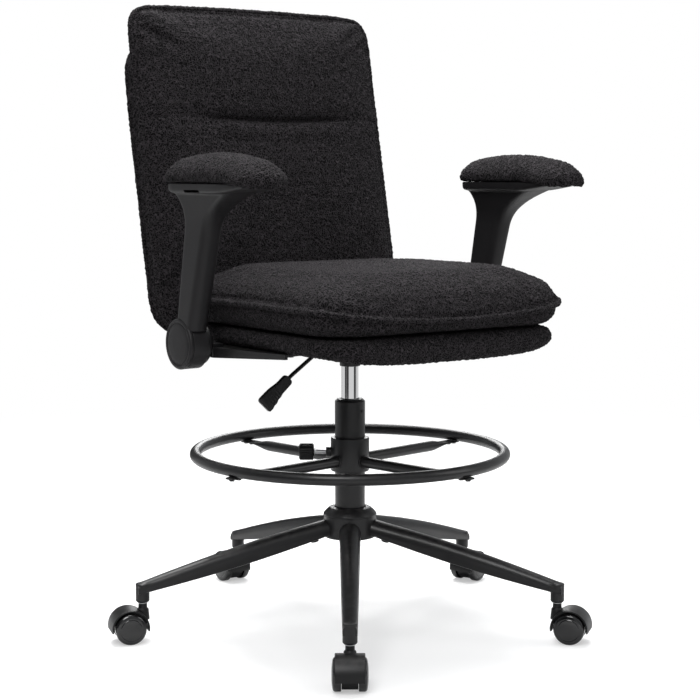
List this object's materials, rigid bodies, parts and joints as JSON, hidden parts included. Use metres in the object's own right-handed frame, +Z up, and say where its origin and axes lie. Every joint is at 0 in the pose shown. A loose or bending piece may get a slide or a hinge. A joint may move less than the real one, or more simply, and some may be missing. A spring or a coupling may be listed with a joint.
{
  "type": "drafting chair",
  "caption": "Tall swivel chair on a five-leg base with casters, foot ring on the column, padded seat and back, and padded arms that flip up.",
  "frame": {"origin": "middle of the chair's bounding box, on the floor, in the stored height setting", "axes": "+Z up; the chair faces -Y; the sitter's left is +X"},
  "size_m": [0.7854, 0.747, 1.0407],
  "materials": {
    "black_steel": "satin powder coat",
    "chrome": "polished",
    "zinc_steel": "bright zinc",
    "grey_plastic": "satin moulded",
    "black_plastic": "moulded",
    "gloss_plastic": "gloss",
    "boucle": "curly boucle pile",
    "plywood": "raw plywood"
  },
  "bodies": {
    "base": {"base_hub": "black_steel", "base_leg_1": "black_steel", "base_leg_2": "black_steel", "base_leg_3": "black_steel", "base_leg_4": "black_steel", "base_leg_5": "black_steel", "column_tube": "black_steel", "column_bush": "black_plastic", "thrust_bearing": "zinc_steel", "caster_1_stem": "zinc_steel", "caster_2_stem": "zinc_steel", "caster_3_stem": "zinc_steel", "caster_4_stem": "zinc_steel", "caster_5_stem": "zinc_steel"},
    "piston_rod": {"piston_rod": "zinc_steel", "retaining_clip": "zinc_steel"},
    "seat": {"gas_cylinder": "chrome", "mechanism_plate": "black_steel", "seat_pan": "plywood", "seat_lower_cushion": "boucle", "seat_upper_cushion": "boucle", "back_bracket": "black_steel", "back_board": "plywood", "back_rear_pad": "boucle", "back_front_pad": "boucle", "arm_left_bracket": "black_steel", "arm_right_bracket": "black_steel", "arm_left_pivot_pin": "zinc_steel", "arm_right_pivot_pin": "zinc_steel"},
    "lever": {"lever_rod": "black_steel", "lever_paddle": "black_plastic"},
    "release_pin": {"release_pin": "zinc_steel"},
    "arm_left": {"arm_left_hub": "grey_plastic", "arm_left_hub_cap": "grey_plastic", "arm_left_post": "grey_plastic", "arm_left_pad": "boucle"},
    "arm_right": {"arm_right_hub": "grey_plastic", "arm_right_hub_cap": "grey_plastic", "arm_right_post": "grey_plastic", "arm_right_pad": "boucle"},
    "foot_ring": {"foot_ring": "black_steel", "ring_spider": "black_steel"},
    "clamp_knob": {"clamp_knob": "black_plastic", "clamp_screw": "zinc_steel"},
    "caster_1": {"caster_1_body": "black_plastic"},
    "caster_1_wheel_left": {"caster_1_wheel_left": "gloss_plastic"},
    "caster_1_wheel_right": {"caster_1_wheel_right": "gloss_plastic"},
    "caster_2": {"caster_2_body": "black_plastic"},
    "caster_2_wheel_left": {"caster_2_wheel_left": "gloss_plastic"},
    "caster_2_wheel_right": {"caster_2_wheel_right": "gloss_plastic"},
    "caster_3": {"caster_3_body": "black_plastic"},
    "caster_3_wheel_left": {"caster_3_wheel_left": "gloss_plastic"},
    "caster_3_wheel_right": {"caster_3_wheel_right": "gloss_plastic"},
    "caster_4": {"caster_4_body": "black_plastic"},
    "caster_4_wheel_left": {"caster_4_wheel_left": "gloss_plastic"},
    "caster_4_wheel_right": {"caster_4_wheel_right": "gloss_plastic"},
    "caster_5": {"caster_5_body": "black_plastic"},
    "caster_5_wheel_left": {"caster_5_wheel_left": "gloss_plastic"},
    "caster_5_wheel_right": {"caster_5_wheel_right": "gloss_plastic"}
  },
  "joints": [
    {"name": "seat_swivel", "type": "hinge", "parent": "base", "child": "piston_rod", "pos_m": [0, -0.03209, 0.15], "axis": [0, 0, 1], "continuous": true},
    {"name": "height_adjust", "type": "slide", "parent": "piston_rod", "child": "seat", "axis": [0, 0, 1], "range_m": [-0.025, 0.15]},
    {"name": "lever_lift", "type": "hinge", "parent": "seat", "child": "lever", "pos_m": [-0.0285, -0.03209, 0.4674], "axis": [0, 1, 0], "range_deg": [0, 5], "stiffness_Nm_per_rad": 4},
    {"name": "release_pin_push", "type": "slide", "parent": "seat", "child": "release_pin", "axis": [0, 0, -1], "range_m": [0, 0.0026]},
    {"name": "arm_left_flip", "type": "hinge", "parent": "seat", "child": "arm_left", "pos_m": [0.292, -0.00109, 0.487], "axis": [-1, 0, 0], "range_deg": [0, 75]},
    {"name": "arm_right_flip", "type": "hinge", "parent": "seat", "child": "arm_right", "pos_m": [-0.292, -0.00109, 0.487], "axis": [-1, 0, 0], "range_deg": [0, 75]},
    {"name": "foot_ring_slide", "type": "slide", "parent": "base", "child": "foot_ring", "axis": [0, 0, 1], "range_m": [-0.05, 0.045]},
    {"name": "clamp_knob_turn", "type": "hinge", "parent": "foot_ring", "child": "clamp_knob", "pos_m": [-0.05663, 0.00906, 0.291], "axis": [-0.809, 0.5878, 0], "range_deg": [-180, 180]},
    {"name": "caster_1_swivel", "type": "hinge", "parent": "base", "child": "caster_1", "pos_m": [0, 0.31991, 0.06], "axis": [0, 0, 1], "continuous": true},
    {"name": "caster_1_left_roll", "type": "hinge", "parent": "caster_1", "child": "caster_1_wheel_left", "pos_m": [0, 0.34291, 0.025], "axis": [-1, 0, 0], "continuous": true},
    {"name": "caster_1_right_roll", "type": "hinge", "parent": "caster_1", "child": "caster_1_wheel_right", "pos_m": [0, 0.34291, 0.025], "axis": [-1, 0, 0], "continuous": true},
    {"name": "caster_2_swivel", "type": "hinge", "parent": "base", "child": "caster_2", "pos_m": [-0.33477, 0.07669, 0.06], "axis": [0, 0, 1], "continuous": true},
    {"name": "caster_2_left_roll", "type": "hinge", "parent": "caster_2", "child": "caster_2_wheel_left", "pos_m": [-0.35665, 0.08379, 0.025], "axis": [-0.309, -0.9511, 0], "continuous": true},
    {"name": "caster_2_right_roll", "type": "hinge", "parent": "caster_2", "child": "caster_2_wheel_right", "pos_m": [-0.35665, 0.08379, 0.025], "axis": [-0.309, -0.9511, 0], "continuous": true},
    {"name": "caster_3_swivel", "type": "hinge", "parent": "base", "child": "caster_3", "pos_m": [-0.2069, -0.31686, 0.06], "axis": [0, 0, 1], "continuous": true},
    {"name": "caster_3_left_roll", "type": "hinge", "parent": "caster_3", "child": "caster_3_wheel_left", "pos_m": [-0.22042, -0.33547, 0.025], "axis": [0.809, -0.5878, 0], "continuous": true},
    {"name": "caster_3_right_roll", "type": "hinge", "parent": "caster_3", "child": "caster_3_wheel_right", "pos_m": [-0.22042, -0.33547, 0.025], "axis": [0.809, -0.5878, 0], "continuous": true},
    {"name": "caster_4_swivel", "type": "hinge", "parent": "base", "child": "caster_4", "pos_m": [0.2069, -0.31686, 0.06], "axis": [0, 0, 1], "continuous": true},
    {"name": "caster_4_left_roll", "type": "hinge", "parent": "caster_4", "child": "caster_4_wheel_left", "pos_m": [0.22042, -0.33547, 0.025], "axis": [0.809, 0.5878, 0], "continuous": true},
    {"name": "caster_4_right_roll", "type": "hinge", "parent": "caster_4", "child": "caster_4_wheel_right", "pos_m": [0.22042, -0.33547, 0.025], "axis": [0.809, 0.5878, 0], "continuous": true},
    {"name": "caster_5_swivel", "type": "hinge", "parent": "base", "child": "caster_5", "pos_m": [0.33477, 0.07669, 0.06], "axis": [0, 0, 1], "continuous": true},
    {"name": "caster_5_left_roll", "type": "hinge", "parent": "caster_5", "child": "caster_5_wheel_left", "pos_m": [0.35665, 0.08379, 0.025], "axis": [-0.309, 0.9511, 0], "continuous": true},
    {"name": "caster_5_right_roll", "type": "hinge", "parent": "caster_5", "child": "caster_5_wheel_right", "pos_m": [0.35665, 0.08379, 0.025], "axis": [-0.309, 0.9511, 0], "continuous": true}
  ],
  "couplings": [
    {"joint": "release_pin_push", "follows": "lever_lift", "m_per_rad": 0.0285}
  ]
}
